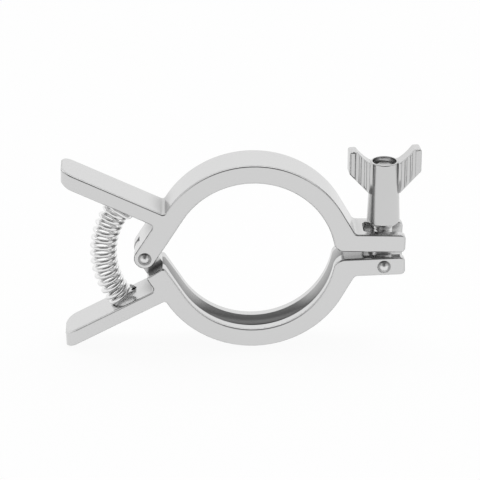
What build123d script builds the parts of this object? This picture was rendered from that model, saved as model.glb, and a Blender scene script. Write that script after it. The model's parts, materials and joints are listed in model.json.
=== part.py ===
from build123d import *
import os
from math import acos, cos, degrees, radians, sin, sqrt, tan

# Sanitary hinged clamp for tri-clamp ferrules, millimetres, +Z up.
# Origin: centre of the lower jaw's ring, at mid width. +X runs from the hinge to
# the bolt, and +Y runs along the pipe. Each jaw is one casting, drawn in its own
# frame with the ring centre at the origin and the hinge pin on the -X axis.

# ---- ring ----
WIDTH = 19.0              # width of both castings along the pipe
LIP_RADIUS = 35.2         # inner edge of the two lips
GROOVE_RADIUS = 39.1      # floor of the groove that holds the ferrules
RING_RADIUS = 43.4        # outside of the ring
GROOVE_FLOOR = 7.6        # width of the groove floor
GROOVE_WALL_ANGLE = 20.0  # slope of each groove wall, as on the ferrules
EDGE_BREAK = 0.8          # ground edge round the front and rear faces

# ---- hinge ----
PIN_OFFSET = 46.3         # ring centre to hinge pin
EAR_RADIUS = 4.6          # end of each ear, and half the arm's width
TONGUE_RADIUS = 4.3       # end of the tongue, and half its width
TONGUE_WIDTH = 6.8        # tongue along the pin
TONGUE_SIDE_GAP = 0.12    # tongue to each ear
TONGUE_END_GAP = 0.7      # tongue end to slot floor
EAR_SLOT_FLOOR = 3.2      # hinge pin to the flat part of the ear slot's floor
SHOULDER_DISTANCE = 7.9   # hinge pin to the lower jaw's shoulder
SHOULDER_CORNER = 1.5
ARM_CORNER = 1.5          # inside corner between arm and lever

# ---- levers ----
LEVER_THICKNESS = 6.5
LEVER_REACH = 82.1        # ring centre to the lever's end
LEVER_ROOT_ANGLE = 28.0   # where the lever leaves the ring, from the -X axis
LEVER_END_RADIUS = 5.0    # rounded end seen from above
LEVER_VALLEY_RADIUS = 1.4
LOWER_LEVER_SLOPE = 25.6
UPPER_LEVER_SLOPE = 24.2

# ---- lugs ----
LUG_FACE = 4.1            # ring centre line to the lug's parting face
LUG_THICKNESS = 8.2
LUG_REACH = 64.8          # ring centre to the lug's end
LUG_ROOT_ANGLE = 31.0     # where the ring's outside turns straight to the lug
LUG_FILLET = 2.2
LUG_END_RADIUS = 2.0
MOUTH_RADIUS = 4.8        # ring bore to parting face
SLOT_WIDTH = 10.4         # open slot for the bolt in both lugs
SLOT_START = 47.4         # ring centre to the slot's inner end
SLOT_CORNER = 1.2
SLOT_EDGE_BREAK = 0.7     # chamfer along the slot's edges

# ---- pins ----
PIN_RADIUS = 2.4
PIN_RUNNING_GAP = 0.05    # pin to the piece that turns on it
PIN_FIXED_GAP = 0.02      # pin to the piece it is riveted in
HEAD_RADIUS = 2.9
HEAD_HEIGHT = 1.0
BOLT_PIN_X = 55.8         # ring centre to bolt pin

# ---- bolt and nut ----
BOLT_RADIUS = 4.0
BOLT_LENGTH = 43.3        # bolt pin to the bolt's end
BOLT_CHAMFER = 0.9
EYE_RADIUS = 5.5
EYE_WIDTH = 9.4
NUT_SEAT_GAP = 2.0        # nut to the upper lug
NUT_BORE_GAP = 0.05
NUT_TOP_ABOVE_BOLT = 1.8  # nut rim above the bolt's end
NUT_BASE_RADIUS = 7.1
NUT_RIM_RADIUS = 6.05
NUT_BASE_BREAK = 1.3      # chamfer round the seat
NUT_RIM_BREAK = 0.4
NUT_COUNTERBORE_RADIUS = 5.15
NUT_COUNTERBORE_DEPTH = 3.0
NUT_TURN = 4.5            # resting turn of the wings from the X axis
WING_THICKNESS = 7.0
WING_REACH = 15.4
WING_RISE = 5.8           # wing tip above the rim
WING_TIP = 3.2            # flat top of each wing
WING_SIDE = 10.1          # height of the wing's outer edge
WING_ROOT_DROP = 13.8     # rim down to where the wing leaves the barrel
WING_TOP_HOLLOW = 0.45    # sag of the curve from rim to wing tip
WING_ROOT = 0.5           # how far each wing runs into the barrel
WING_CORNER_RADIUS = 1.0
WING_EDGE_BREAK = 0.6
FLUTE_RADIUS = 0.9
FLUTE_DEPTH = 0.5
FLUTE_FIRST = 7.5         # nut axis to the first flute
FLUTE_PITCH = 2.3
FLUTE_COUNT = 3

# ---- spring ----
WIRE_RADIUS = 0.9
COIL_RADIUS = 4.25        # coil axis to the wire's centre
BEND_RADIUS = 38.0        # arc that the coil's axis follows
BEND_CENTRE_X = -25.4
BEND_CENTRE_Z = -2.6
COIL_START_ANGLE = 212.3  # ends of the arc, about the bend's centre
COIL_END_ANGLE = 146.2
COIL_TURNS = 13.5
STATIONS_PER_TURN = 12
WIRE_SIDES = 6
HOOK_HOLE_RADIUS = 1.3
HOOK_HOLE_DEPTH = 4.0
HOOK_X = -51.9            # both hook holes, in the jaw's frame
HOOK_BEND_RADIUS = 1.6
HOOK_DEPTH = 2.2          # wire end below the lever's face
HOOK_STATIONS = 5

# ---- pose of the two castings at rest ----
LOWER_TILT = 1.8          # lower jaw's turn about the ring centre
UPPER_TILT = -1.4         # upper jaw's turn from the X axis


def polar(radius, angle):
    """Point at a radius and an angle in degrees, in the jaw's own plane."""
    return Vector(radius * cos(radians(angle)), radius * sin(radians(angle)))


# The arm's inside edge is tangent to the lips, and the pin is midway across it.
ARM_ANGLE = degrees(acos((LIP_RADIUS + EAR_RADIUS) / PIN_OFFSET))
ACROSS = polar(1, 180 + ARM_ANGLE)
ALONG = polar(1, 90 + ARM_ANGLE)
PIN = Vector(-PIN_OFFSET, 0)
LUG_MID = LUG_FACE + LUG_THICKNESS / 2


def arm_point(across, from_pin):
    """Point on the lower jaw's arm, across from the ring centre, short of the pin."""
    return ACROSS * across + ALONG * (PIN.dot(ALONG) - from_pin)


def lever_lines(slope):
    """Outer and inner corners of a lever, and its corner with the arm."""
    root = polar(RING_RADIUS, 180 + LEVER_ROOT_ANGLE)
    rise = tan(radians(slope))
    depth = LEVER_THICKNESS / cos(radians(slope))
    outer = Vector(-LEVER_REACH, root.Y - (LEVER_REACH + root.X) * rise)
    inner = outer + Vector(0, depth)
    # The inner face meets the arm's outside edge, where ACROSS . p is constant.
    edge = LIP_RADIUS + 2 * EAR_RADIUS
    start = Vector(root.X, root.Y + depth)
    step = (edge - start.dot(ACROSS)) / Vector(-1, -rise).dot(ACROSS)
    corner = start + Vector(-1, -rise) * step
    return root, outer, inner, corner


def jaw_face(slope, with_ears):
    """Front outline of a jaw, drawn with its ring below the X axis."""
    root, outer, inner, corner = lever_lines(slope)
    lug_foot = polar(RING_RADIUS, -LUG_ROOT_ANGLE)
    lug_back = LUG_FACE + LUG_THICKNESS
    run = (-lug_back - lug_foot.Y) / cos(radians(LUG_ROOT_ANGLE))
    lug_corner = lug_foot + Vector(sin(radians(LUG_ROOT_ANGLE)), cos(radians(LUG_ROOT_ANGLE))) * run
    mouth = Vector(sqrt(LIP_RADIUS**2 - LUG_FACE**2), -LUG_FACE)
    lip_end = ACROSS * LIP_RADIUS
    if with_ears:
        ear_out = PIN + ACROSS * EAR_RADIUS
        ear_in = PIN - ACROSS * EAR_RADIUS
        end = ThreePointArc(ear_out, PIN + ALONG * EAR_RADIUS, ear_in)
    else:
        ear_out = arm_point(LIP_RADIUS + 2 * EAR_RADIUS, SHOULDER_DISTANCE)
        ear_in = arm_point(LIP_RADIUS, SHOULDER_DISTANCE)
        end = Line(ear_out, ear_in)
    outline = [
        Line(mouth, (LUG_REACH, -LUG_FACE)),
        Line((LUG_REACH, -LUG_FACE), (LUG_REACH, -lug_back)),
        Line((LUG_REACH, -lug_back), lug_corner),
        Line(lug_corner, lug_foot),
        ThreePointArc(lug_foot, (0, -RING_RADIUS), root),
        Line(root, outer),
        Line(outer, inner),
        Line(inner, corner),
        Line(corner, ear_out),
        end,
        Line(ear_in, lip_end),
        ThreePointArc(lip_end, (0, -LIP_RADIUS), mouth),
    ]
    face = make_face(Curve() + outline)
    rounds = [
        (mouth, MOUTH_RADIUS),
        (Vector(LUG_REACH, -LUG_FACE), LUG_END_RADIUS),
        (Vector(LUG_REACH, -lug_back), LUG_END_RADIUS),
        (lug_corner, LUG_FILLET),
        (root, LEVER_VALLEY_RADIUS),
        (corner, ARM_CORNER),
    ]
    if not with_ears:
        rounds += [(ear_out, SHOULDER_CORNER), (ear_in, SHOULDER_CORNER)]
    for point, radius in rounds:
        nearest = face.vertices().sort_by_distance(point)[0]
        face = fillet(nearest, radius)
    return face


def plate(face, width):
    """A face in the jaw's plane, given its width along Y."""
    return extrude(Plane.XZ * face, width / 2, both=True)


def blank_jaw(slope, with_ears):
    """A jaw before machining: lever end rounded in plan, and every face edge rounded."""
    blank = plate(jaw_face(slope, with_ears), WIDTH)
    upright = blank.edges().filter_by(Axis.Z)
    corners = upright.filter_by_position(Axis.X, -LEVER_REACH - 1, -LEVER_REACH + 0.01)
    blank = fillet(corners, LEVER_END_RADIUS)
    front_and_rear = blank.faces().filter_by(Axis.Y).edges()
    tip = blank.edges().filter_by_position(Axis.X, -LEVER_REACH - 1, -LEVER_REACH + LEVER_END_RADIUS)
    tip = tip.filter_by(lambda e: abs(e.tangent_at(0.5).Z) < 0.9)
    return chamfer(ShapeList(set(front_and_rear + tip)), EDGE_BREAK)


def groove():
    """Ring cut for the ferrules: a floor and two sloped walls."""
    flare = tan(radians(GROOVE_WALL_ANGLE))
    start = 2 * LIP_RADIUS - GROOVE_RADIUS
    half = GROOVE_FLOOR / 2
    wide = half + (GROOVE_RADIUS - start) * flare
    corners = [(start, -wide), (GROOVE_RADIUS, -half), (GROOVE_RADIUS, half), (start, wide)]
    return revolve(make_face(Polyline(*corners, close=True)), Axis.Y)


def bolt_slot():
    """Slot through a lug, open at its end."""
    length = 2 * (LUG_REACH - SLOT_START)
    block = Box(length, SLOT_WIDTH, 4 * LUG_THICKNESS)
    block = fillet(block.edges().filter_by(Axis.Z), SLOT_CORNER)
    return Pos(SLOT_START + length / 2, 0, -LUG_MID) * block


def slotted(jaw):
    """A jaw with its bolt slot cut and the slot's edges broken."""
    jaw -= bolt_slot()
    rim = jaw.edges().filter_by(lambda e: e.bounding_box().min.X > SLOT_START - 0.01)
    rim = rim.filter_by(lambda e: abs(e.center().Y) < SLOT_WIDTH / 2 + 0.01)
    upright = rim.filter_by(lambda e: abs(e.tangent_at(0.5).Z) > 0.99)
    inner = upright.filter_by(lambda e: e.center().X < SLOT_START + 2 * SLOT_CORNER)
    return chamfer(ShapeList(set(rim) - set(inner)), SLOT_EDGE_BREAK)


def along_y(radius, length):
    """Cylinder on the Y axis, centred."""
    return Rot(90, 0, 0) * Cylinder(radius, length)


def hinge_slot():
    """Cut between the ears: a round floor about the pin, open past the ears' ends."""
    width = TONGUE_WIDTH + 2 * TONGUE_SIDE_GAP
    clear = 2 * EAR_RADIUS
    corners = [
        PIN - ACROSS * clear - ALONG * EAR_SLOT_FLOOR,
        PIN + ACROSS * clear - ALONG * EAR_SLOT_FLOOR,
        PIN + ACROSS * clear + ALONG * clear,
        PIN - ACROSS * clear + ALONG * clear,
    ]
    opening = plate(make_face(Polyline(*corners, close=True)), width)
    return opening + Pos(PIN.X, 0, 0) * along_y(TONGUE_RADIUS + TONGUE_END_GAP, width)


def tongue():
    """Hinge tongue, from inside the lower jaw's arm to its round end about the pin."""
    root = PIN - ALONG * (SHOULDER_DISTANCE + TONGUE_RADIUS)
    corners = [
        PIN + ACROSS * TONGUE_RADIUS,
        PIN - ACROSS * TONGUE_RADIUS,
        root - ACROSS * TONGUE_RADIUS,
        root + ACROSS * TONGUE_RADIUS,
    ]
    body = plate(make_face(Polyline(*corners, close=True)), TONGUE_WIDTH)
    return body + Pos(PIN.X, 0, 0) * along_y(TONGUE_RADIUS, TONGUE_WIDTH)


def hook_mouth(slope):
    """Mouth of the hole for the spring's hook, and the way into the lever."""
    root, outer, inner, corner = lever_lines(slope)
    rise = tan(radians(slope))
    return inner + Vector(1, rise) * (LEVER_REACH + HOOK_X), Vector(rise, -1).normalized()


def hook_hole(slope, y):
    """Blind hole for one end of the spring, square to the lever's inner face."""
    mouth, inward = hook_mouth(slope)
    drill = Cylinder(HOOK_HOLE_RADIUS, 2 * HOOK_HOLE_DEPTH)
    return Pos(mouth.X, y, mouth.Y) * Rot(0, -slope, 0) * drill


def turned(x, z, tilt):
    """A point of the XZ plane after a turn that lifts the +X side."""
    c = cos(radians(tilt))
    s = sin(radians(tilt))
    return Vector(x * c - z * s, 0, x * s + z * c)


HINGE = turned(-PIN_OFFSET, 0, LOWER_TILT)
BOLT_PIN = turned(BOLT_PIN_X, -LUG_MID, LOWER_TILT)
UPPER_CENTRE = HINGE + turned(PIN_OFFSET, 0, UPPER_TILT)


def place_lower(shape):
    """Lower jaw's frame to the clamp's frame."""
    return Rot(0, -LOWER_TILT, 0) * shape


def place_upper(shape):
    """Upper jaw, drawn ring down, to its place in the clamp."""
    return Pos(UPPER_CENTRE) * Rot(0, -UPPER_TILT, 0) * mirror(shape, Plane.XY)


def make_lower_jaw():
    """Lower jaw: lever, ring half, hinge tongue and the clevis for the bolt."""
    jaw = slotted(blank_jaw(LOWER_LEVER_SLOPE, False)) + tongue() - groove()
    jaw -= Pos(PIN.X, 0, 0) * along_y(PIN_RADIUS + PIN_RUNNING_GAP, 2 * WIDTH)
    jaw -= Pos(BOLT_PIN_X, 0, -LUG_MID) * along_y(PIN_RADIUS + PIN_FIXED_GAP, 2 * WIDTH)
    jaw -= hook_hole(LOWER_LEVER_SLOPE, COIL_RADIUS)
    return place_lower(jaw)


def make_upper_jaw():
    """Upper jaw: lever, ring half, two hinge ears and the fork for the bolt."""
    jaw = slotted(blank_jaw(UPPER_LEVER_SLOPE, True)) - hinge_slot() - groove()
    jaw -= Pos(PIN.X, 0, 0) * along_y(PIN_RADIUS + PIN_FIXED_GAP, 2 * WIDTH)
    jaw -= hook_hole(UPPER_LEVER_SLOPE, -COIL_RADIUS)
    return place_upper(jaw)


def make_pin(centre):
    """Riveted pin: a shaft with a domed head on each outer face."""
    seat = WIDTH / 2 + PIN_FIXED_GAP
    dome_radius = (HEAD_RADIUS**2 + HEAD_HEIGHT**2) / (2 * HEAD_HEIGHT)
    head = Pos(0, seat + HEAD_HEIGHT / 2, 0) * along_y(HEAD_RADIUS, HEAD_HEIGHT)
    head &= Pos(0, seat + HEAD_HEIGHT - dome_radius, 0) * Sphere(dome_radius)
    return Pos(centre) * (along_y(PIN_RADIUS, 2 * seat) + head + mirror(head, Plane.XZ))


def make_eye_bolt():
    """Bolt with a round eye on the bolt pin, standing upright."""
    end = BOLT_LENGTH
    stud = Pos(0, 0, end / 2) * Cylinder(BOLT_RADIUS, end)
    stud = chamfer(stud.edges().sort_by(Axis.Z)[-1], BOLT_CHAMFER)
    eye = along_y(EYE_RADIUS, EYE_WIDTH)
    return Pos(BOLT_PIN) * (stud + eye - along_y(PIN_RADIUS + PIN_RUNNING_GAP, 2 * EYE_WIDTH))


LUG_TOP = (UPPER_CENTRE + turned(BOLT_PIN_X, LUG_FACE + LUG_THICKNESS, UPPER_TILT)).Z
NUT_BOTTOM = LUG_TOP + NUT_SEAT_GAP
NUT_RIM = BOLT_PIN.Z + BOLT_LENGTH + NUT_TOP_ABOVE_BOLT


def nut_barrel():
    """Tapered barrel of the wing nut with its bore and counterbore."""
    floor = NUT_RIM - NUT_COUNTERBORE_DEPTH
    bore = BOLT_RADIUS + NUT_BORE_GAP
    points = [
        (bore, NUT_BOTTOM),
        (NUT_BASE_RADIUS, NUT_BOTTOM),
        (NUT_RIM_RADIUS, NUT_RIM),
        (NUT_COUNTERBORE_RADIUS, NUT_RIM),
        (NUT_COUNTERBORE_RADIUS, floor),
        (bore, floor - (NUT_COUNTERBORE_RADIUS - bore)),
    ]
    section = make_face(Polyline(*points, close=True))
    section = chamfer(section.vertices().sort_by_distance(Vector(*points[1]))[0], NUT_BASE_BREAK)
    section = chamfer(section.vertices().sort_by_distance(Vector(*points[2]))[0], NUT_RIM_BREAK)
    return revolve(Plane.XZ * section, Axis.Z)


def nut_wing():
    """One wing: flat tip, hollow top edge, upright outer edge and sloped lower edge."""
    top = NUT_RIM + WING_RISE
    foot = NUT_RIM - WING_ROOT_DROP
    start = Vector(NUT_RIM_RADIUS - WING_ROOT / 2, NUT_RIM - WING_ROOT / 2)
    kink = Vector(WING_REACH - WING_TIP, top)
    middle = (start + kink) / 2 + (kink - start).rotate(Axis.Z, -90).normalized() * WING_TOP_HOLLOW
    low = Vector(WING_REACH, top - WING_SIDE)
    inside = NUT_RIM_RADIUS - WING_ROOT
    low_root = Vector(NUT_BASE_RADIUS - WING_ROOT, foot)
    outline = [
        Line((inside, start.Y), start),
        ThreePointArc(start, middle, kink),
        Line(kink, (WING_REACH, top)),
        Line((WING_REACH, top), low),
        Line(low, low_root),
        Line(low_root, (inside, foot)),
        Line((inside, foot), (inside, start.Y)),
    ]
    face = make_face(Curve() + outline)
    for point in (kink, Vector(WING_REACH, top), low):
        face = fillet(face.vertices().sort_by_distance(point)[0], WING_CORNER_RADIUS)
    wing = plate(face, WING_THICKNESS)
    rim = wing.faces().filter_by(Axis.Y).edges()
    rim = rim.filter_by(lambda e: e.center().X > NUT_BASE_RADIUS)
    wing = chamfer(rim, WING_EDGE_BREAK)
    for index in range(FLUTE_COUNT):
        x = FLUTE_FIRST + index * FLUTE_PITCH
        for side in (-1, 1):
            y = side * (WING_THICKNESS / 2 + FLUTE_RADIUS - FLUTE_DEPTH)
            wing -= Pos(x, y, NUT_RIM) * Cylinder(FLUTE_RADIUS, 4 * WING_ROOT_DROP)
    return wing


def make_wing_nut():
    """Wing nut: barrel and two wings, turned a little from the clamp's plane."""
    wing = nut_wing()
    nut = nut_barrel() + wing + Rot(0, 0, 180) * wing
    return Pos(BOLT_PIN.X, 0, 0) * Rot(0, 0, NUT_TURN) * nut


def coil_point(turns):
    """Wire centre and its direction from the coil's axis, counted in turns from the lower end."""
    share = turns / COIL_TURNS
    angle = radians(COIL_START_ANGLE + (COIL_END_ANGLE - COIL_START_ANGLE) * share)
    outward = Vector(cos(angle), 0, sin(angle))
    phase = radians(90 + 360 * turns)
    radial = Vector(0, sin(phase), 0) - outward * cos(phase)
    centre = Vector(BEND_CENTRE_X, 0, BEND_CENTRE_Z) + outward * BEND_RADIUS
    return centre + radial * COIL_RADIUS, radial


def hook_stations(turns, mouth, inward):
    """Wire centres of one hook, from the coil's end to the wire's end in its hole."""
    start, radial = coil_point(turns)
    near = coil_point(turns + (0.001 if turns == 0 else -0.001))[0]
    away = (start - near).normalized()
    across = away - inward * away.dot(inward)
    corner = start + away * ((mouth - start).dot(across) / across.dot(across))
    bend = acos(away.dot(inward))
    side = (inward - away * cos(bend)) / sin(bend)
    centre = corner + (inward - away).normalized() * (HOOK_BEND_RADIUS / cos(bend / 2))
    stations = []
    for index in range(HOOK_STATIONS + 1):
        turn = bend * index / HOOK_STATIONS
        stations.append(centre + (away * sin(turn) - side * cos(turn)) * HOOK_BEND_RADIUS)
    stations.append(mouth + inward * HOOK_DEPTH)
    return [(station, radial) for station in stations]


def flat_face(corners):
    """Flat face on the given corners."""
    return Face(Wire.make_polygon(corners, close=True))


def make_spring():
    """Bent compression spring between the levers, hooked into both."""
    mouth, inward = hook_mouth(LOWER_LEVER_SLOPE)
    mouth = turned(mouth.X, mouth.Y, LOWER_TILT) + Vector(0, COIL_RADIUS, 0)
    inward = turned(inward.X, inward.Y, LOWER_TILT)
    stations = hook_stations(0, mouth, inward)
    stations.reverse()
    count = int(COIL_TURNS * STATIONS_PER_TURN)
    stations += [coil_point(COIL_TURNS * index / count) for index in range(count + 1)]
    mouth, inward = hook_mouth(UPPER_LEVER_SLOPE)
    mouth = UPPER_CENTRE + turned(mouth.X, -mouth.Y, UPPER_TILT) - Vector(0, COIL_RADIUS, 0)
    inward = turned(inward.X, -inward.Y, UPPER_TILT)
    stations += hook_stations(COIL_TURNS, mouth, inward)
    rings = []
    for index, (centre, radial) in enumerate(stations):
        before = stations[max(index - 1, 0)][0]
        after = stations[min(index + 1, len(stations) - 1)][0]
        plane = Plane(centre, x_dir=radial, z_dir=after - before)
        corners = [polar(WIRE_RADIUS, 360 * side / WIRE_SIDES) for side in range(WIRE_SIDES)]
        rings.append([plane.from_local_coords(corner) for corner in corners])
    faces = [flat_face(rings[0][::-1]), flat_face(rings[-1])]
    for ring, following in zip(rings, rings[1:]):
        for side in range(WIRE_SIDES):
            beside = (side + 1) % WIRE_SIDES
            faces.append(flat_face([ring[side], ring[beside], following[beside]]))
            faces.append(flat_face([ring[side], following[beside], following[side]]))
    return Solid(Shell(faces))


PARTS = {
    "lower_jaw": make_lower_jaw(),
    "upper_jaw": make_upper_jaw(),
    "hinge_pin": make_pin(HINGE),
    "bolt_pin": make_pin(BOLT_PIN),
    "eye_bolt": make_eye_bolt(),
    "wing_nut": make_wing_nut(),
    "lever_spring": make_spring(),
}

os.makedirs("parts", exist_ok=True)
for node, shape in PARTS.items():
    print(node, round(shape.volume, 1), shape.is_valid, len(shape.solids()))
    export_step(shape, f"parts/{node}.step")
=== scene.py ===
"""Looks of the sanitary hinged clamp: metals, thread, spring wire, studio and camera."""

import json
import logging
from collections import defaultdict
from contextlib import contextmanager
from dataclasses import dataclass
from enum import Enum
from math import acos, cos, pi, radians, sin
from typing import Iterator, Optional, Sequence, Union

import bmesh
import bpy
from mathutils import Matrix, Vector


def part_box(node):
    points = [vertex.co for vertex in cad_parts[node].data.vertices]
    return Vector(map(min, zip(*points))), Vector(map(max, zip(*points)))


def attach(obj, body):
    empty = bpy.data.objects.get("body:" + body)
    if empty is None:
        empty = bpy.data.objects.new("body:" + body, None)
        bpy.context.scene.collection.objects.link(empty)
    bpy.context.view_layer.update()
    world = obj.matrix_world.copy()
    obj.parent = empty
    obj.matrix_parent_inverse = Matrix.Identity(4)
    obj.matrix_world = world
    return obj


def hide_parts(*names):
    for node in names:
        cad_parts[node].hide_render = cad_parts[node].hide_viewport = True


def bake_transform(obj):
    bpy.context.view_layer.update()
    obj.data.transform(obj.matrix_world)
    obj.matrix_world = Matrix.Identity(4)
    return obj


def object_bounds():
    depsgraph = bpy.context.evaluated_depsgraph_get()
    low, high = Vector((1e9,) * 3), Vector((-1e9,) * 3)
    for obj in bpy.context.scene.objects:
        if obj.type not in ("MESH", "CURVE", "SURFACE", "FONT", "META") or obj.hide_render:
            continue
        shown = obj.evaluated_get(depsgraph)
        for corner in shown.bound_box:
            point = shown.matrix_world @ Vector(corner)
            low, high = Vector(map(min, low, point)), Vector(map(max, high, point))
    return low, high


log = logging.getLogger("clamp")
logging.basicConfig(level=logging.INFO, format="%(name)s: %(message)s")

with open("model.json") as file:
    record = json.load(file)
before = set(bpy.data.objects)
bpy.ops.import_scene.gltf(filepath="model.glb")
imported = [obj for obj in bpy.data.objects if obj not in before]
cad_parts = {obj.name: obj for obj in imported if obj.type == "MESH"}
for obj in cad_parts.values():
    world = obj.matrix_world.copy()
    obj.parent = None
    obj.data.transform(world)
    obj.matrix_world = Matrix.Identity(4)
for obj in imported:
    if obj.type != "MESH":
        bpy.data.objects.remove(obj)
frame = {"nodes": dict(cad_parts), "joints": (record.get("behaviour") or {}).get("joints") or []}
SIZE_AT_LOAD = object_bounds()

MM = 0.001
WHITE = "#ffffff"
# Corners of loose triangles closer than this are one corner.
JOIN_DISTANCE_MM = 0.002
# Strips narrower than this are broken edges.
BREAK_WIDTH_MM = 1.35
# Least border of a group of faces in metres, so that its width stays finite.
LEAST_BORDER = 1e-6
# A shading angle at which no edge stays sharp.
NO_SHARP_EDGE = 180.0


class Body(Enum):
    """The moving bodies of the clamp."""

    LOWER = "lower_jaw"
    UPPER = "upper_jaw"
    BOLT = "eye_bolt"
    NUT = "wing_nut"


class Socket(Enum):
    """What an input of a node tree takes."""

    SHAPE = "NodeSocketGeometry"
    NUMBER = "NodeSocketFloat"
    COUNT = "NodeSocketInt"


# ---------------------------------------------------------------- nodes


def linear(hex_colour: str) -> tuple[float, float, float, float]:
    """Turn an sRGB hex colour to linear light.

    Args:
        hex_colour: Six hex digits with a leading hash.

    Returns:
        Linear red, green, blue and an alpha of 1.
    """
    channels = [int(hex_colour[i : i + 2], 16) / 255 for i in (1, 3, 5)]
    return (*[c / 12.92 if c <= 0.04045 else ((c + 0.055) / 1.055) ** 2.4 for c in channels], 1.0)


def add(
    tree: bpy.types.NodeTree, kind: str, settings: Optional[dict] = None, **inputs
) -> bpy.types.Node:
    """Add a node with its settings, socket values and links.

    Args:
        tree: The tree that gets the node.
        kind: Blender's node type.
        settings: Attributes of the node.
        **inputs: Socket name (spaces as underscores, or i0, i1 by number) to a value or a socket.

    Returns:
        The new node.
    """
    node = tree.nodes.new(kind)
    for name, value in (settings or {}).items():
        setattr(node, name, value)
    for name, value in inputs.items():
        by_number = name[0] == "i" and name[1:].isdigit()
        socket = node.inputs[int(name[1:])] if by_number else node.inputs[name.replace("_", " ")]
        if isinstance(value, bpy.types.NodeSocket):
            tree.links.new(value, socket)
        else:
            socket.default_value = value
    return node


def empty_tree(owner: Union[bpy.types.Material, bpy.types.World]) -> bpy.types.NodeTree:
    """Switch on the nodes of a material or world, and clear them.

    Args:
        owner: The material or world.

    Returns:
        Its empty tree.
    """
    owner.use_nodes = True
    owner.node_tree.nodes.clear()
    return owner.node_tree


def shape_tree(
    name: str, inputs: dict[Socket, Sequence[str]], output: str
) -> bpy.types.NodeTree:
    """Start a node tree that makes a shape.

    Args:
        name: Name of the tree.
        inputs: Names of the inputs, under what they take.
        output: Name of the shape that comes out.

    Returns:
        The tree with its inputs and its output.
    """
    tree = bpy.data.node_groups.new(name, "GeometryNodeTree")
    for kind, sockets in inputs.items():
        for socket in sockets:
            tree.interface.new_socket(socket, in_out="INPUT", socket_type=kind.value)
    tree.interface.new_socket(output, in_out="OUTPUT", socket_type=Socket.SHAPE.value)
    return tree


def end_tree(
    tree: bpy.types.NodeTree, shape: bpy.types.NodeSocket, finish: bpy.types.Material
) -> None:
    """End a node tree with plain geometry in one finish.

    Args:
        tree: The tree to end.
        shape: Socket that gives the shape.
        finish: Material of every face.
    """
    real = add(tree, "GeometryNodeRealizeInstances", Geometry=shape)
    painted = add(
        tree, "GeometryNodeSetMaterial", Geometry=real.outputs["Geometry"], Material=finish
    )
    add(tree, "NodeGroupOutput", i0=painted.outputs["Geometry"])


def shaped(
    obj: bpy.types.Object, step: str, tree: bpy.types.NodeTree, values: dict[str, float]
) -> bpy.types.Object:
    """Run a node tree on an object and keep the plain mesh that it gives.

    Args:
        obj: The object that the tree starts from. It is removed.
        step: Name of the modifier.
        tree: The tree.
        values: Input name to value.

    Returns:
        A new object of the same name, with a plain mesh and no modifier.
    """
    modifier = obj.modifiers.new(step, "NODES")
    modifier.node_group = tree
    sockets = {s.name: s.identifier for s in tree.interface.items_tree if s.item_type == "SOCKET"}
    for socket, value in values.items():
        modifier[sockets[socket]] = value
    evaluated = obj.evaluated_get(bpy.context.evaluated_depsgraph_get())
    plain = bpy.data.meshes.new_from_object(evaluated)
    name = plain.name = obj.name
    result = bpy.data.objects.new(name + "_plain", plain)
    bpy.context.scene.collection.objects.link(result)
    bpy.data.objects.remove(obj)
    result.name = name
    return result


# ---------------------------------------------------------------- meshes


def mesh_object(
    name: str,
    vertices: Sequence[Vector],
    faces: Sequence[Sequence[int]],
    edges: Sequence[tuple[int, int]] = (),
) -> bpy.types.Object:
    """Make a mesh object at the origin.

    Args:
        name: Object name.
        vertices: Corners in metres.
        faces: Corner numbers of each face.
        edges: Corner numbers of each edge that belongs to no face.

    Returns:
        The linked object.
    """
    mesh = bpy.data.meshes.new(name)
    mesh.from_pydata([tuple(v) for v in vertices], list(edges), [tuple(f) for f in faces])
    mesh.update()
    obj = bpy.data.objects.new(name, mesh)
    bpy.context.scene.collection.objects.link(obj)
    return obj


@contextmanager
def edited(obj: bpy.types.Object) -> Iterator[bmesh.types.BMesh]:
    """Open an object's mesh for editing, and write it back at the end.

    Args:
        obj: The mesh object.

    Yields:
        The open mesh.
    """
    mesh = bmesh.new()
    mesh.from_mesh(obj.data)
    yield mesh
    mesh.to_mesh(obj.data)
    mesh.free()


def outward_normals(obj: bpy.types.Object) -> None:
    """Turn a closed mesh's faces outwards."""
    with edited(obj) as mesh:
        bmesh.ops.recalc_face_normals(mesh, faces=mesh.faces)


def joined_copy(node: str, name: str) -> bpy.types.Object:
    """Copy a CAD piece with its loose triangles joined at their corners.

    Args:
        node: Name of the CAD node.
        name: Name of the copy.

    Returns:
        The linked copy.
    """
    obj = bpy.data.objects.new(name, frame["nodes"][node].data.copy())
    obj.data.name = name
    bpy.context.scene.collection.objects.link(obj)
    with edited(obj) as mesh:
        bmesh.ops.remove_doubles(mesh, verts=mesh.verts, dist=JOIN_DISTANCE_MM * MM)
    return obj


def turned_piece(
    name: str, centre: Vector, profile: Sequence[tuple[float, float]], columns: int
) -> bpy.types.Object:
    """Turn a profile about an axis along Y.

    Args:
        name: Object name.
        centre: Middle of the piece, in metres.
        profile: Radius and place along Y of each corner in mm. One that starts and ends on the
            axis is solid, and any other closes on itself.
        columns: Steps round the axis.

    Returns:
        The turned object.
    """
    vertices, rows, faces = [], [], []
    for radius, y in profile:
        count = columns if radius else 1
        rows.append([len(vertices) + index for index in range(count)])
        for index in range(count):
            angle = 2 * pi * index / columns
            vertices.append(centre + Vector((radius * cos(angle), y, radius * sin(angle))) * MM)
    pairs = list(zip(rows, rows[1:]))
    if profile[0][0]:
        pairs.append((rows[-1], rows[0]))
    for low, high in pairs:
        for index in range(columns):
            beside = index + 1
            corners = [low[index % len(low)], low[beside % len(low)]]
            corners += [high[beside % len(high)], high[index % len(high)]]
            faces.append(tuple(dict.fromkeys(corners)))
    obj = mesh_object(name, vertices, faces)
    outward_normals(obj)
    return obj


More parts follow.
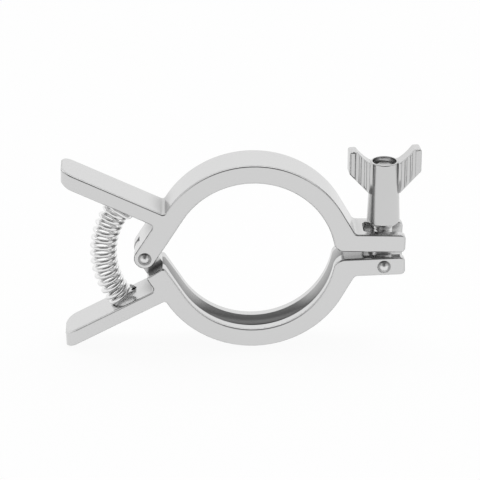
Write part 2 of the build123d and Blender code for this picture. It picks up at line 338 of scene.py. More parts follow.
def shade_smooth(obj: bpy.types.Object, angle: float = 30.0) -> None:
    """Shade a mesh smooth, with the edges above an angle sharp.

    Args:
        obj: The mesh object.
        angle: Sharpest turn in degrees that still looks round.
    """
    obj.data.polygons.foreach_set("use_smooth", [True] * len(obj.data.polygons))
    obj.data.set_sharp_from_angle(angle=radians(angle))


def smooth_regions(mesh: bmesh.types.BMesh, turn: float) -> tuple[list[int], list[float]]:
    """Group faces that run on smoothly into one another.

    Args:
        mesh: The joined mesh.
        turn: Largest turn in radians between neighbours of one group.

    Returns:
        The group number of each face, and the mean width of each group.
    """
    region = [-1] * len(mesh.faces)
    widths = []
    for seed in mesh.faces:
        if region[seed.index] >= 0:
            continue
        number, area, border = len(widths), 0.0, 0.0
        region[seed.index] = number
        waiting = [seed]
        while waiting:
            face = waiting.pop()
            area += face.calc_area()
            for edge in face.edges:
                for other in edge.link_faces:
                    if region[other.index] < 0 and face.normal.angle(other.normal, 0) < turn:
                        region[other.index] = number
                        waiting.append(other)
                    if region[other.index] != number:
                        border += edge.calc_length()
        widths.append(2 * area / max(border, LEAST_BORDER))
    return region, widths


def round_breaks(obj: bpy.types.Object, facet_turn: float = 20.0, reach: float = 62.0) -> None:
    """Shade narrow broken edges as roundings between the broad faces beside them.

    Args:
        obj: A joined copy of a casting.
        facet_turn: Largest turn in degrees between facets of one curved face.
        reach: Largest turn in degrees from a broken edge to the face that it runs into.
    """
    mesh = bmesh.new()
    mesh.from_mesh(obj.data)
    region, widths = smooth_regions(mesh, radians(facet_turn))
    sums: dict[int, dict[int, Vector]] = defaultdict(lambda: defaultdict(Vector))
    for face in mesh.faces:
        for loop in face.loops:
            sums[loop.vert.index][region[face.index]] += face.normal * loop.calc_angle()
    normals = []
    for face in mesh.faces:
        own = region[face.index]
        for loop in face.loops:
            around = sums[loop.vert.index]
            best, turn = around[own], radians(reach)
            if widths[own] < BREAK_WIDTH_MM * MM:
                for number, total in around.items():
                    away = around[own].angle(total, pi)
                    if widths[number] >= BREAK_WIDTH_MM * MM and away < turn:
                        best, turn = total, away
            normals.append(tuple(best.normalized()))
    mesh.free()
    shade_smooth(obj, NO_SHARP_EDGE)
    obj.data.normals_split_custom_set(normals)


# ---------------------------------------------------------------- finishes


@dataclass(frozen=True)
class Metal:
    """A bare metal finish: a colour, a gloss and a fine surface pattern.

    Where a shade reach in mm is set, shade is painted into the colour: the metal darkens to the
    painted shade colour in places that are closed in by faces at that distance, as shade falls
    there. The openness pair holds the openness of a fully shaded and of an unshaded place.
    """

    name: str
    colour: str
    roughness: float
    grain_mm: float
    grain_depth_mm: float
    grain_detail: float = 3.0
    grain_falloff: float = 0.55
    gloss_change: float = 0.0
    # Painted shade: the reach in mm, the shade colour, the openness range and the samples.
    painted_shade_reach_mm: float = 0.0
    painted_shade_colour: str = "#5c5c5c"
    painted_shade_openness: tuple[float, float] = (0.35, 0.92)
    painted_shade_samples: int = 12

    def paint_shade(self, tree: bpy.types.NodeTree) -> bpy.types.NodeSocket:
        """Paint shade into the metal's colour, darker towards deep narrow places where shade
        falls.

        Args:
            tree: The material's tree.

        Returns:
            The colour socket.
        """
        shelter = add(
            tree,
            "ShaderNodeAmbientOcclusion",
            {"samples": self.painted_shade_samples, "only_local": True},
            Distance=self.painted_shade_reach_mm * MM,
        )
        dark, unshaded = self.painted_shade_openness
        openness = add(
            tree, "ShaderNodeMapRange", Value=shelter.outputs["AO"], From_Min=dark, From_Max=unshaded
        )
        mix = add(
            tree,
            "ShaderNodeMix",
            {"data_type": "RGBA"},
            i0=openness.outputs["Result"],
            i6=linear(self.painted_shade_colour),
            i7=linear(self.colour),
        )
        return mix.outputs[2]

    def gloss(
        self, tree: bpy.types.NodeTree, grain: bpy.types.NodeSocket
    ) -> Union[float, bpy.types.NodeSocket]:
        """Let the roughness follow the grain, where this metal's does.

        Args:
            tree: The material's tree.
            grain: Socket with the grain's height, from 0 to 1.

        Returns:
            The roughness, or the socket that gives it.
        """
        if not self.gloss_change:
            return self.roughness
        change = add(
            tree,
            "ShaderNodeMapRange",
            Value=grain,
            To_Min=self.roughness - self.gloss_change,
            To_Max=self.roughness + self.gloss_change,
        )
        return change.outputs["Result"]

    def material(self) -> bpy.types.Material:
        """Build the material.

        Returns:
            The finished material.
        """
        material = bpy.data.materials.new(self.name)
        tree = empty_tree(material)
        place = add(tree, "ShaderNodeTexCoord")
        # Noise cells in metres: one cell for each grain of the real surface.
        grain = add(
            tree,
            "ShaderNodeTexNoise",
            Vector=place.outputs["Object"],
            Scale=1 / (self.grain_mm * MM),
            Detail=self.grain_detail,
            Roughness=self.grain_falloff,
        )
        bump = add(
            tree,
            "ShaderNodeBump",
            Height=grain.outputs["Fac"],
            Distance=self.grain_depth_mm * MM,
            Strength=1.0,
        )
        # Where a shade reach is set, the base colour carries painted shade in closed-in places.
        surface = add(
            tree,
            "ShaderNodeBsdfPrincipled",
            Base_Color=self.paint_shade(tree) if self.painted_shade_reach_mm else linear(self.colour),
            Metallic=1.0,
            Roughness=self.gloss(tree, grain.outputs["Fac"]),
            Normal=bump.outputs["Normal"],
        )
        add(tree, "ShaderNodeOutputMaterial", Surface=surface.outputs["BSDF"])
        return material


# Investment-cast 304, barrel-finished: glossy, with faint waves, and with painted shade that
# darkens its colour in the groove and between the lugs.
CAST = Metal("cast_stainless", "#d1d1d1", 0.17, 1.4, 0.004, gloss_change=0.02, painted_shade_reach_mm=11.0)
# Turned rivets, upset cold: a lighter metal with a softer gloss than the castings.
TURNED = Metal("turned_stainless", "#e2e2e2", 0.3, 0.5, 0.002)
# Rolled M8 stud: an even satin, so that light runs along the crests of the thread.
ROLLED = Metal("rolled_stainless", "#d6d6d6", 0.3, 0.4, 0.002)
# Cast wing nut, barrel-finished too: a little duller than the jaws.
NUT_CAST = Metal("cast_nut_stainless", "#cccccc", 0.24, 1.2, 0.004, gloss_change=0.03)
# Drawn spring wire: the brightest metal, with crisp lights on each turn. Its draw lines are far
# finer than this grain, which is as coarse as it needs to be to show.
WIRE = Metal("drawn_spring_wire", "#e8e8e8", 0.14, 0.3, 0.001)


def dress(obj: bpy.types.Object, finish: bpy.types.Material) -> None:
    """Give an object one material on every face.

    Args:
        obj: The mesh object.
        finish: Its only material.
    """
    obj.data.materials.clear()
    obj.data.materials.append(finish)
    obj.data.polygons.foreach_set("material_index", [0] * len(obj.data.polygons))


def stand_for(obj: bpy.types.Object, body: Body, node: Optional[str] = None) -> None:
    """Put a piece on its moving body and let it stand for a CAD node.

    Args:
        obj: The finished piece.
        body: The body that carries it.
        node: CAD node that it replaces, if any.
    """
    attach(obj, body.value)
    if node:
        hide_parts(node)


# ---------------------------------------------------------------- pieces
# Sizes are in mm and angles in degrees.


@dataclass
class Castings:
    """Both jaws, with their broken edges shaded round."""

    bodies: tuple[Body, ...] = (Body.LOWER, Body.UPPER)

    def build(self) -> list[bpy.types.Object]:
        """Copy, round and dress the two jaws.

        Returns:
            Both jaws.
        """
        finish = CAST.material()
        jaws = []
        for body in self.bodies:
            jaw = joined_copy(body.value, body.value + "_casting")
            round_breaks(jaw)
            dress(jaw, finish)
            stand_for(jaw, body, body.value)
            jaws.append(jaw)
        return jaws


@dataclass
class Pins:
    """Hinge pin and bolt pin, each with two riveted button heads.

    The heads are shaded as full domes: rim_lean is the lean of the surface at the rim, and
    least_facing tells a head's faces from its flank by the share of their normal along the pin.
    """

    shank_radius: float = 2.4
    head_radius: float = 2.9
    head_height: float = 1.0
    rim_lean: float = 86.0
    least_facing: float = 0.3
    rings: int = 12
    columns: int = 48

    def profile(self, crown: float, seat: float) -> list[tuple[float, float]]:
        """Outline of a pin with two domed heads.

        Args:
            crown: From the middle to the top of a head.
            seat: From the middle to the underside of a head.

        Returns:
            Radius and place along the pin of each corner.
        """
        ball = (self.head_radius**2 + self.head_height**2) / (2 * self.head_height)
        radii = [self.head_radius * ring / self.rings for ring in range(self.rings + 1)]
        head = [(radius, crown - ball + (ball**2 - radius**2) ** 0.5) for radius in radii]
        front = head + [(self.shank_radius, seat)]
        return front + [(radius, -y) for radius, y in reversed(front)]

    def round_heads(self, pin: bpy.types.Object, centre: Vector, seat: float) -> None:
        """Shade the heads as full domes that roll over at their rims.

        Args:
            pin: The turned pin.
            centre: Middle of the pin, in metres.
            seat: From the middle to the underside of a head.
        """
        mesh = pin.data
        normals = []
        for face in mesh.polygons:
            side = 1 if face.center.y > centre.y else -1
            past_seat = abs(face.center.y - centre.y) / MM > seat
            on_head = past_seat and face.normal.y * side > self.least_facing
            for index in face.loop_indices:
                away = (mesh.vertices[mesh.loops[index].vertex_index].co - centre) / MM
                outward = Vector((away.x, 0, away.z))
                lean = radians(self.rim_lean) * outward.length / self.head_radius
                dome = outward.normalized() * sin(lean) + Vector((0, side * cos(lean), 0))
                normals.append(tuple(dome if on_head else face.normal))
        shade_smooth(pin, NO_SHARP_EDGE)
        mesh.normals_split_custom_set(normals)

    def build(self) -> list[bpy.types.Object]:
        """Turn both pins where the CAD pins stand.

        Returns:
            Both pins.
        """
        finish = TURNED.material()
        pins = []
        for node, body in (("hinge_pin", Body.UPPER), ("bolt_pin", Body.LOWER)):
            low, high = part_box(node)
            centre = (low + high) / 2
            crown = (high.y - low.y) / 2 / MM
            seat = crown - self.head_height
            outline = self.profile(crown, seat)
            pin = turned_piece(node + "_turned", centre, outline, self.columns)
            self.round_heads(pin, centre, seat)
            dress(pin, finish)
            stand_for(pin, body, node)
            pins.append(pin)
        return pins


@dataclass
class EyeBolt:
    """Swing bolt: a plain eye and a threaded stud.

    The thread starts thread_start above the pin, fades in over run_out_turns, and keeps a flat
    crest that widens with flank_steepness. shank_overlap is how far its plain shank goes on
    past the eye's bore.
    """

    pitch: float = 1.25
    major_radius: float = 4.0
    minor_radius: float = 3.35
    flank_steepness: float = 1.2
    run_out_turns: float = 2.0
    end_chamfer: float = 0.9
    thread_start: float = 7.5
    shank_overlap: float = 1.5
    eye_radius: float = 5.5
    eye_width: float = 9.4
    bore_radius: float = 2.45
    eye_edge: float = 0.5
    rows_per_pitch: int = 10
    columns: int = 64
    seam_distance: float = 0.001
    shading_angle: float = 40.0

    def tree(self, finish: bpy.types.Material) -> bpy.types.NodeTree:
        """Node tree that cuts a screw thread into a grid rolled to a tube.

        Args:
            finish: Material of the stud.

        Returns:
            The tree.
        """
        sizes = ("Length", "Pitch", "Major Radius", "Minor Radius", "Chamfer", "Run Out")
        counts = ("Rows", "Columns")
        tree = shape_tree("screw_thread", {Socket.NUMBER: sizes, Socket.COUNT: counts}, "Stud")
        given = add(tree, "NodeGroupInput").outputs
        grid = add(
            tree,
            "GeometryNodeMeshGrid",
            Size_X=1.0,
            Size_Y=1.0,
            Vertices_X=given["Columns"],
            Vertices_Y=given["Rows"],
        )
        place = add(tree, "GeometryNodeInputPosition")
        parts = add(tree, "ShaderNodeSeparateXYZ", i0=place.outputs[0])
        known = {name: given[name] for name in sizes}
        known.update({"grid x": parts.outputs["X"], "grid y": parts.outputs["Y"]})
        # Each step: the name of its result, the operation, and what it works on.
        steps = (
            ("share round", "ADD", "grid x", 0.5),
            ("share up", "ADD", "grid y", 0.5),
            ("height", "MULTIPLY", "share up", "Length"),
            ("angle", "MULTIPLY", "share round", 2 * pi),
            # A sharp V with a narrow flat crest, as on a rolled M8 thread.
            ("turns up", "DIVIDE", "height", "Pitch"),
            ("turns", "SUBTRACT", "turns up", "share round"),
            ("phase", "FRACT", "turns"),
            ("double phase", "MULTIPLY", "phase", 2.0),
            ("side of root", "SUBTRACT", "double phase", 1.0),
            ("ridge", "ABSOLUTE", "side of root"),
            ("steep ridge", "MULTIPLY", "ridge", self.flank_steepness),
            ("flat ridge", "MINIMUM", "steep ridge", 1.0),
            ("cut share", "SUBTRACT", 1.0, "flat ridge"),
            ("depth", "SUBTRACT", "Major Radius", "Minor Radius"),
            ("full cut", "MULTIPLY", "cut share", "depth"),
            # The cut grows from nothing over the run-out.
            ("run in", "DIVIDE", "height", "Run Out"),
            ("fade", "MINIMUM", "run in", 1.0),
            ("cut", "MULTIPLY", "full cut", "fade"),
            ("threaded", "SUBTRACT", "Major Radius", "cut"),
            # The end is chamfered at 45 degrees.
            ("to end", "SUBTRACT", "Length", "height"),
            ("end radius", "SUBTRACT", "Major Radius", "Chamfer"),
            ("taper", "ADD", "end radius", "to end"),
            ("radius", "MINIMUM", "threaded", "taper"),
            ("cosine", "COSINE", "angle"),
            ("sine", "SINE", "angle"),
            ("stud x", "MULTIPLY", "radius", "cosine"),
            ("stud y", "MULTIPLY", "radius", "sine"),
        )
        for name, operation, *operands in steps:
            inputs = {f"i{index}": known.get(item, item) for index, item in enumerate(operands)}
            node = add(tree, "ShaderNodeMath", {"operation": operation}, **inputs)
            known[name] = node.outputs[0]
        rolled = add(
            tree,
            "ShaderNodeCombineXYZ",
            X=known["stud x"],
            Y=known["stud y"],
            Z=known["height"],
        )
        tube = add(
            tree,
            "GeometryNodeSetPosition",
            Geometry=grid.outputs["Mesh"],
            Position=rolled.outputs["Vector"],
        )
        sealed = add(
            tree,
            "GeometryNodeMergeByDistance",
            Geometry=tube.outputs["Geometry"],
            Distance=self.seam_distance * MM,
        )
        end_tree(tree, sealed.outputs["Geometry"], finish)
        return tree

    def stud(self, centre: Vector, finish: bpy.types.Material) -> bpy.types.Object:
        """Threaded stud from the eye to the bolt's end.

        Args:
            centre: Middle of the eye, in metres.
            finish: Material of the stud.

        Returns:
            The stud.
        """
        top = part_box("eye_bolt")[1].z
        length = (top - centre.z) / MM - self.thread_start
        values = {
            "Length": length * MM,
            "Pitch": self.pitch * MM,
            "Major Radius": self.major_radius * MM,
            "Minor Radius": self.minor_radius * MM,
            "Chamfer": self.end_chamfer * MM,
            "Run Out": self.run_out_turns * self.pitch * MM,
            "Rows": int(length / self.pitch * self.rows_per_pitch),
            "Columns": self.columns + 1,
        }
        stud = shaped(mesh_object("eye_bolt_stud", [], []), "thread", self.tree(finish), values)
        self.close_ends(stud, length)
        stud.data.transform(Matrix.Translation(centre + Vector((0, 0, self.thread_start * MM))))
        outward_normals(stud)
        return stud

    def close_ends(self, stud: bpy.types.Object, length: float) -> None:
        """Cap the stud's top, and carry its plain shank down into the eye.

        Args:
            stud: The threaded tube, standing on the origin.
            length: Length of the threaded stretch.
        """
        with edited(stud) as mesh:
            rims = [e for e in mesh.edges if e.is_boundary]
            low = [e for e in rims if e.verts[0].co.z < length * MM / 2]
            high = [e for e in rims if e.verts[0].co.z > length * MM / 2]
            bmesh.ops.edgeloop_fill(mesh, edges=high)
            grown = bmesh.ops.extrude_edge_only(mesh, edges=low)["geom"]
            moved = [v for v in grown if isinstance(v, bmesh.types.BMVert)]
            drop = self.thread_start - self.bore_radius - self.shank_overlap
            bmesh.ops.translate(mesh, verts=moved, vec=Vector((0, 0, -drop * MM)))
            ends = [e for e in grown if isinstance(e, bmesh.types.BMEdge)]
            bmesh.ops.edgeloop_fill(mesh, edges=ends)

    def eye(self, centre: Vector) -> bpy.types.Object:
        """Round eye with a bore along Y and broken edges.

        Args:
            centre: Middle of the eye, in metres.

        Returns:
            The eye.
        """
        half = self.eye_width / 2
        profile = [
            (self.bore_radius, -half),
            (self.eye_radius - self.eye_edge, -half),
            (self.eye_radius, -half + self.eye_edge),
            (self.eye_radius, half - self.eye_edge),
            (self.eye_radius - self.eye_edge, half),
            (self.bore_radius, half),
        ]
        return turned_piece("eye_bolt_eye", centre, profile, self.columns)

    def build(self) -> list[bpy.types.Object]:
        """Make the stud and the eye, and stand them for the CAD bolt.

        Returns:
            The stud and the eye.
        """
        finish = ROLLED.material()
        swing = next(joint for joint in frame["joints"] if joint["name"] == "bolt_swing")
        centre = Vector(swing["pos_m"])
        pieces = [self.stud(centre, finish), self.eye(centre)]
        for piece, node in zip(pieces, ("eye_bolt", None)):
            shade_smooth(piece, self.shading_angle)
            dress(piece, finish)
            stand_for(piece, Body.BOLT, node)
        return pieces


@dataclass
class WingNut:
    """Wing nut, whose finger flutes are widened to scallops that meet.

    The first flute on a wing stands flute_first from the axis, and flute_depth is how far each
    one goes into the wing.
    """

    wing_thickness: float = 7.0
    flute_first: float = 7.5
    flute_pitch: float = 2.3
    flute_count: int = 3
    flute_radius: float = 1.45
    flute_depth: float = 0.52
    flute_length: float = 30.0
    flute_sides: int = 64

    def tree(self, finish: bpy.types.Material) -> bpy.types.NodeTree:
        """Node tree that cuts rows of flutes into both faces of both wings.

        Args:
            finish: Material of the nut.

        Returns:
            The tree.
        """
        inputs = {
            Socket.SHAPE: ("Nut",),
            Socket.NUMBER: ("First", "Pitch", "Radius", "Length", "Offset", "Axis X", "Middle Z"),
            Socket.COUNT: ("Count", "Sides"),
        }
        tree = shape_tree("finger_flutes", inputs, "Fluted Nut")
        given = add(tree, "NodeGroupInput").outputs
        cutter = add(
            tree,
            "GeometryNodeMeshCylinder",
            Vertices=given["Sides"],
            Radius=given["Radius"],
            Depth=given["Length"],
        )
        step = add(tree, "ShaderNodeCombineXYZ", X=given["Pitch"])
        rows = add(tree, "GeometryNodeJoinGeometry")
        for side in (-1.0, 1.0):
            across = add(
                tree, "ShaderNodeMath", {"operation": "MULTIPLY"}, i0=given["Offset"], i1=side
            )
            start = add(tree, "ShaderNodeCombineXYZ", X=given["First"], Y=across.outputs[0])
            line = add(
                tree,
                "GeometryNodeMeshLine",
                {"mode": "OFFSET"},
                Count=given["Count"],
                Start_Location=start.outputs[0],
                Offset=step.outputs[0],
            )
            row = add(
                tree,
                "GeometryNodeInstanceOnPoints",
                Points=line.outputs["Mesh"],
                Instance=cutter.outputs["Mesh"],
            )
            opposite = add(
                tree,
                "GeometryNodeTransform",
                Geometry=row.outputs["Instances"],
                Rotation=(0, 0, pi),
            )
            tree.links.new(row.outputs["Instances"], rows.inputs[0])
            tree.links.new(opposite.outputs["Geometry"], rows.inputs[0])
        place = add(tree, "ShaderNodeCombineXYZ", X=given["Axis X"], Z=given["Middle Z"])
        placed = add(
            tree,
            "GeometryNodeTransform",
            Geometry=rows.outputs["Geometry"],
            Translation=place.outputs[0],
        )
        solid = add(tree, "GeometryNodeRealizeInstances", Geometry=placed.outputs["Geometry"])
        # The exact solver gives no mesh at all on this casting.
        cut = add(
            tree,
            "GeometryNodeMeshBoolean",
            {"operation": "DIFFERENCE", "solver": "FLOAT"},
            i0=given["Nut"],
            i1=solid.outputs["Geometry"],
        )
        end_tree(tree, cut.outputs["Mesh"], finish)
        return tree

    def trim(self, nut: bpy.types.Object) -> None:
        """Clear what the cut leaves beside the nut's closed skin, and keep the skin.

        Args:
            nut: The fluted nut.
        """
        nut.data.validate()
        with edited(nut) as mesh:
            fins = [face for face in mesh.faces if any(edge.is_boundary for edge in face.edges)]
            bmesh.ops.delete(mesh, geom=fins, context="FACES")
            loose_edges = [edge for edge in mesh.edges if not edge.link_faces]
            bmesh.ops.delete(mesh, geom=loose_edges, context="EDGES")
            loose_corners = [vert for vert in mesh.verts if not vert.link_faces]
            bmesh.ops.delete(mesh, geom=loose_corners, context="VERTS")

    def build(self) -> list[bpy.types.Object]:
        """Cut the flutes and dress the nut.

        Returns:
            The nut alone.
        """
        finish = NUT_CAST.material()
        low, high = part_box("wing_nut")
        values = {
            "First": self.flute_first * MM,
            "Pitch": self.flute_pitch * MM,
            "Radius": self.flute_radius * MM,
            "Length": self.flute_length * MM,
            "Offset": (self.wing_thickness / 2 + self.flute_radius - self.flute_depth) * MM,
            "Axis X": (low.x + high.x) / 2,
            "Middle Z": high.z,
            "Count": self.flute_count,
            "Sides": self.flute_sides,
        }
        plain = joined_copy("wing_nut", "wing_nut_casting")
        nut = shaped(plain, "flutes", self.tree(finish), values)
        self.trim(nut)
        round_breaks(nut)
        dress(nut, finish)
        stand_for(nut, Body.NUT, "wing_nut")
        return [nut]


@dataclass
class LeverSpring:
    """Bent compression spring between the levers, with a hook at each end.

    Places are X and Z in the clamp's plane. The coil's axis is an arc from start_angle to
    end_angle, its first and last turns are closed up to end_pitch, and each mouth is that of the
    hole in a lever, whose slope follows.
    """

    wire_radius: float = 0.9
    coil_radius: float = 4.95
    bend_radius: float = 33.9
    bend_centre: tuple[float, float] = (-30.1, -1.8)
    start_angle: float = 218.0
    end_angle: float = 143.1
    turns: float = 14.5
    end_pitch: float = 2.0
    points_per_turn: int = 48
    wire_sides: int = 20
    hook_bend: float = 1.6
    hook_depth: float = 3.0
    lower_mouth: tuple[float, float] = (-51.26, -21.3)
    lower_slope: float = 27.4
    upper_mouth: tuple[float, float] = (-51.4, 18.03)
    upper_slope: float = -25.6
    bend_steps: int = 10
    # Turns between an end of the coil and the point that gives its direction.
    end_step: float = 0.001

    def coil_point(self, turn: float) -> Vector:
        """Wire centre after a number of turns.

        Args:
            turn: Turns from the lower end.

        Returns:
            The centre of the wire.
        """
        start, end = radians(self.start_angle), radians(self.end_angle)
        pitch = ((start - end) * self.bend_radius - 2 * self.end_pitch) / (self.turns - 2)
        closed = min(turn, 1) + max(turn - self.turns + 1, 0)
        rise = closed * self.end_pitch + (turn - closed) * pitch
        angle = start - rise / self.bend_radius
        outward = Vector((cos(angle), 0, sin(angle)))
        phase = pi / 2 + 2 * pi * turn
        centre = Vector((self.bend_centre[0], 0, self.bend_centre[1])) + outward * self.bend_radius
        return centre + (Vector((0, sin(phase), 0)) - outward * cos(phase)) * self.coil_radius

    def hook(self, turn: float, mouth: tuple[float, float], inward: Vector) -> list[Vector]:
        """Wire centres from the coil's end into the hole in a lever.

        Args:
            turn: Which end of the coil, in turns.
            mouth: Hole mouth in the clamp's plane.
            inward: Direction into the lever.

        Returns:
            Points from the coil outwards.
        """
        start = self.coil_point(turn)
        near = self.coil_point(turn + (-self.end_step if turn else self.end_step))
        away = (start - near).normalized()
        target = Vector((mouth[0], start.y, mouth[1]))
        across = away - inward * away.dot(inward)
        corner = start + away * ((target - start).dot(across) / across.dot(across))
        bend = acos(away.dot(inward))
        side = (inward - away * cos(bend)) / sin(bend)
        centre = corner + (inward - away).normalized() * (self.hook_bend / cos(bend / 2))
        steps = [bend * index / self.bend_steps for index in range(self.bend_steps + 1)]
        spokes = [away * sin(turned) - side * cos(turned) for turned in steps]
        points = [centre + spoke * self.hook_bend for spoke in spokes]
        return points + [target + inward * self.hook_depth]

    def centreline(self) -> list[Vector]:
        """Wire centres from one hook's end to the other's.

        Returns:
            Points in metres, from the lower hook up.
        """
        low, high = radians(self.lower_slope), radians(self.upper_slope)
        points = self.hook(0, self.lower_mouth, Vector((sin(low), 0, -cos(low))))[::-1]
        count = int(self.turns * self.points_per_turn)
        points += [self.coil_point(self.turns * index / count) for index in range(count + 1)]
        points += self.hook(self.turns, self.upper_mouth, Vector((-sin(high), 0, cos(high))))
        return [point * MM for point in points]

    def tree(self, finish: bpy.types.Material) -> bpy.types.NodeTree:
        """Node tree that sweeps a round wire along the centre line.

        Args:
            finish: Material of the wire.

        Returns:
            The tree.
        """
        inputs = {
            Socket.SHAPE: ("Path",),
            Socket.NUMBER: ("Wire Radius",),
            Socket.COUNT: ("Wire Sides",),
        }
        tree = shape_tree("wire_along_path", inputs, "Wire")
        given = add(tree, "NodeGroupInput").outputs
        curve = add(tree, "GeometryNodeMeshToCurve", Mesh=given["Path"])
        section = add(
            tree,
            "GeometryNodeCurvePrimitiveCircle",
            Radius=given["Wire Radius"],
            Resolution=given["Wire Sides"],
        )
        wire = add(
            tree,
            "GeometryNodeCurveToMesh",
            Curve=curve.outputs["Curve"],
            Profile_Curve=section.outputs["Curve"],
            Fill_Caps=True,
        )
        end_tree(tree, wire.outputs["Mesh"], finish)
        return tree

    def build(self) -> list[bpy.types.Object]:
        """Make the wire, and bend it between the jaws in place of the CAD spring.

        Returns:
            The spring alone.
        """
        finish = WIRE.material()
        points = self.centreline()
        links = [(index, index + 1) for index in range(len(points) - 1)]
        path = mesh_object("lever_spring_wire", points, [], links)
        values = {"Wire Radius": self.wire_radius * MM, "Wire Sides": self.wire_sides}
        wire = shaped(path, "wire", self.tree(finish), values)
        shade_smooth(wire)
        dress(wire, finish)
        mouths = (self.lower_mouth, self.upper_mouth)
        low, high = (Vector((mouth[0], 0, mouth[1])) * MM for mouth in mouths)
        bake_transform(wire)
        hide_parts("lever_spring")
        return [wire]


# ---------------------------------------------------------------- studio


def seen_directly(tree: bpy.types.NodeTree) -> bpy.types.NodeSocket:
    """Tell rays from the camera, a mirror or clear glass from those that only light things.

    Args:
        tree: The tree of the backdrop's material.

    Returns:
        A socket that is 1 for those rays and 0 for the others.
    """
    ray = add(tree, "ShaderNodeLightPath").outputs
    seen = ray["Is Camera Ray"]
    for kind in ("Is Glossy Ray", "Is Transmission Ray"):
        either = add(tree, "ShaderNodeMath", {"operation": "MAXIMUM"}, i0=seen, i1=ray[kind])
        seen = either.outputs[0]
    return seen


@dataclass(frozen=True)
class Panel:
    """A long panel over the clamp, along X, that the metal mirrors.

    Its lean is that of its middle, in degrees from straight up towards the camera. half_width is
    in degrees too, half_length is a share of the way to the horizon, and strength is what it
    adds to the sky.
    """

    lean: float
    half_width: float
    strength: float
    half_length: float = 0.55

    def light(
        self, tree: bpy.types.NodeTree, sideways: bpy.types.NodeSocket, lean: bpy.types.NodeSocket
    ) -> bpy.types.NodeSocket:
        """Mark the directions that the panel fills.

        Args:
            tree: The world's tree.
            sideways: A direction's share along X.
            lean: Its angle from straight up, in radians.

        Returns:
            A socket with the strength inside the panel and 0 outside it.
        """
        level = add(
            tree,
            "ShaderNodeMath",
            {"operation": "COMPARE"},
            i0=lean,
            i1=radians(self.lean),
            i2=radians(self.half_width),
        )
        reach = add(
            tree,
            "ShaderNodeMath",
            {"operation": "COMPARE"},
            i0=sideways,
            i1=0.0,
            i2=self.half_length,
        )
        value = self.strength
        for share in (level, reach):
            node = add(
                tree, "ShaderNodeMath", {"operation": "MULTIPLY"}, i0=share.outputs[0], i1=value
            )
            value = node.outputs[0]
        return value


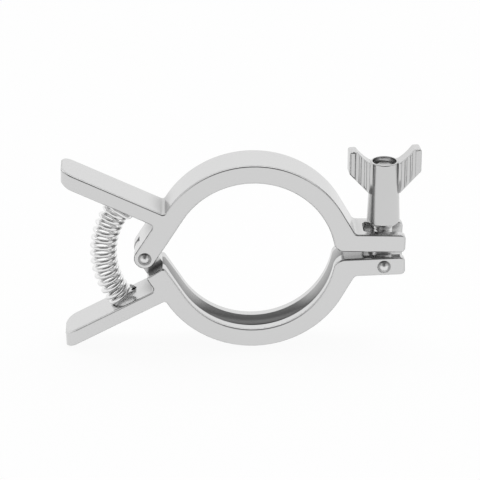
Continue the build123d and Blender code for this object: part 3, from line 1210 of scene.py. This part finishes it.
@dataclass
class Studio:
    """Pale floor, soft light and the camera. Lengths are in metres."""

    floor_size: float = 3.0
    floor_colour: str = "#f4f4f4"
    floor_whiteness: float = 0.93
    lamp_power: float = 9.0
    lamp_size: float = 1.2
    lamp_place: tuple[float, float, float] = (0.2, 0.1, 1.6)
    distance: float = 1.118
    elevation: float = 23.7
    yaw: float = -1.83
    focal_mm: float = 195.0
    aim: tuple[float, float, float] = (-0.0053, 0.0017, 0.0021)
    view_range: tuple[float, float] = (0.05, 20.0)
    # Strength of the sky against the angle from straight up, leaning to the camera: bright
    # behind, so that tops are light, and dimmer in front, where broken edges look.
    sky: tuple[tuple[float, float], ...] = (
        (-180, 0.8),
        (-100, 1.0),
        (-68, 1.05),
        (-48, 1.15),
        (-14, 1.15),
        (-8, 0.6),
        (0, 0.55),
        (46, 0.55),
        (64, 0.8),
        (74, 1.0),
        (110, 1.0),
        (180, 0.8),
    )
    sky_peak: float = 1.5
    # A bright strip behind, and a dark flag in front that takes most of the sky away.
    strip: Panel = Panel(lean=-27.0, half_width=14.0, strength=0.4)
    flag: Panel = Panel(lean=38.0, half_width=46.0, strength=-1.14)

    def floor(self) -> None:
        """Make the floor under the clamp."""
        level = SIZE_AT_LOAD[0].z
        half = self.floor_size / 2
        outline = ((-half, -half), (half, -half), (half, half), (-half, half))
        corners = [Vector((x, y, level)) for x, y in outline]
        obj = mesh_object("studio_floor", corners, [(0, 1, 2, 3)])
        material = bpy.data.materials.new("pale_floor")
        tree = empty_tree(material)
        matt = add(tree, "ShaderNodeBsdfDiffuse", Color=linear(self.floor_colour))
        white = add(tree, "ShaderNodeEmission", Color=linear(WHITE), Strength=1.0)
        share = add(
            tree,
            "ShaderNodeMath",
            {"operation": "MULTIPLY"},
            i0=seen_directly(tree),
            i1=self.floor_whiteness,
        )
        surface = add(
            tree,
            "ShaderNodeMixShader",
            i0=share.outputs[0],
            i1=matt.outputs["BSDF"],
            i2=white.outputs["Emission"],
        )
        add(tree, "ShaderNodeOutputMaterial", Surface=surface.outputs["Shader"])
        dress(obj, material)

    def light(self) -> None:
        """Hang one large soft lamp over the clamp."""
        lamp = bpy.data.lights.new("overhead_lamp", "AREA")
        lamp.energy = self.lamp_power
        lamp.size = self.lamp_size
        obj = bpy.data.objects.new("overhead_lamp", lamp)
        obj.location = self.lamp_place
        obj.rotation_euler = (-obj.location).to_track_quat("-Z", "Y").to_euler()
        obj.visible_glossy = False
        obj.visible_camera = False
        bpy.context.scene.collection.objects.link(obj)

    def graded(
        self, tree: bpy.types.NodeTree, lean: bpy.types.NodeSocket
    ) -> bpy.types.NodeSocket:
        """Grade the sky from front to back.

        Args:
            tree: The world's tree.
            lean: A direction's angle from straight up, in radians.

        Returns:
            A grey colour socket, white at the sky's peak.
        """
        share = add(tree, "ShaderNodeMapRange", Value=lean, From_Min=-pi, From_Max=pi)
        ramp = add(tree, "ShaderNodeValToRGB", Fac=share.outputs["Result"])
        stops = ramp.color_ramp.elements
        while len(stops) < len(self.sky):
            stops.new(0.5)
        for stop, (angle, level) in zip(stops, self.sky):
            stop.position = (angle + 180) / 360
            grey = level / self.sky_peak
            stop.color = (grey, grey, grey, 1)
        return ramp.outputs["Color"]

    def world(self) -> None:
        """White backdrop, and a graded sky with two panels for what the metal mirrors."""
        world = bpy.data.worlds.new("studio")
        bpy.context.scene.world = world
        tree = empty_tree(world)
        way = add(tree, "ShaderNodeTexCoord")
        parts = add(tree, "ShaderNodeSeparateXYZ", i0=way.outputs["Generated"]).outputs
        back = add(tree, "ShaderNodeMath", {"operation": "MULTIPLY"}, i0=parts["Y"], i1=-1.0)
        angle = add(
            tree, "ShaderNodeMath", {"operation": "ARCTAN2"}, i0=back.outputs[0], i1=parts["Z"]
        )
        sideways, lean = parts["X"], angle.outputs[0]
        flag = self.flag.light(tree, sideways, lean)
        level = add(tree, "ShaderNodeMath", {"operation": "ADD"}, i0=flag, i1=self.sky_peak)
        colour = self.graded(tree, lean)
        sky = add(tree, "ShaderNodeBackground", Color=colour, Strength=level.outputs[0])
        strip = self.strip.light(tree, sideways, lean)
        softbox = add(tree, "ShaderNodeBackground", Color=linear(WHITE), Strength=strip)
        mirrored = add(
            tree,
            "ShaderNodeAddShader",
            i0=sky.outputs["Background"],
            i1=softbox.outputs["Background"],
        )
        white = add(tree, "ShaderNodeBackground", Color=linear(WHITE), Strength=1.0)
        ray = add(tree, "ShaderNodeLightPath")
        choice = add(
            tree,
            "ShaderNodeMixShader",
            i0=ray.outputs["Is Camera Ray"],
            i1=mirrored.outputs["Shader"],
            i2=white.outputs["Background"],
        )
        add(tree, "ShaderNodeOutputWorld", Surface=choice.outputs["Shader"])

    def camera(self) -> None:
        """Place the camera at its distance and angles from the aim point."""
        data = bpy.data.cameras.new("camera")
        data.lens = self.focal_mm
        data.clip_start, data.clip_end = self.view_range
        obj = bpy.data.objects.new("camera", data)
        up, turn = radians(self.elevation), radians(self.yaw)
        back = Vector((sin(turn) * cos(up), -cos(turn) * cos(up), sin(up)))
        obj.location = Vector(self.aim) + back * self.distance
        obj.rotation_euler = (-back).to_track_quat("-Z", "Y").to_euler()
        bpy.context.scene.collection.objects.link(obj)
        bpy.context.scene.camera = obj

    def build(self) -> None:
        """Set up the whole studio."""
        self.floor()
        self.light()
        self.world()
        self.camera()
        bpy.context.scene.view_settings.view_transform = "Standard"


def main() -> None:
    """Build and dress every piece in order, then the studio."""
    for part in (Castings(), Pins(), EyeBolt(), WingNut(), LeverSpring()):
        for piece in part.build():
            log.info("%s built, %d faces", piece.name, len(piece.data.polygons))
    Studio().build()
    log.info("studio ready")


if __name__ == "__main__":
    main()
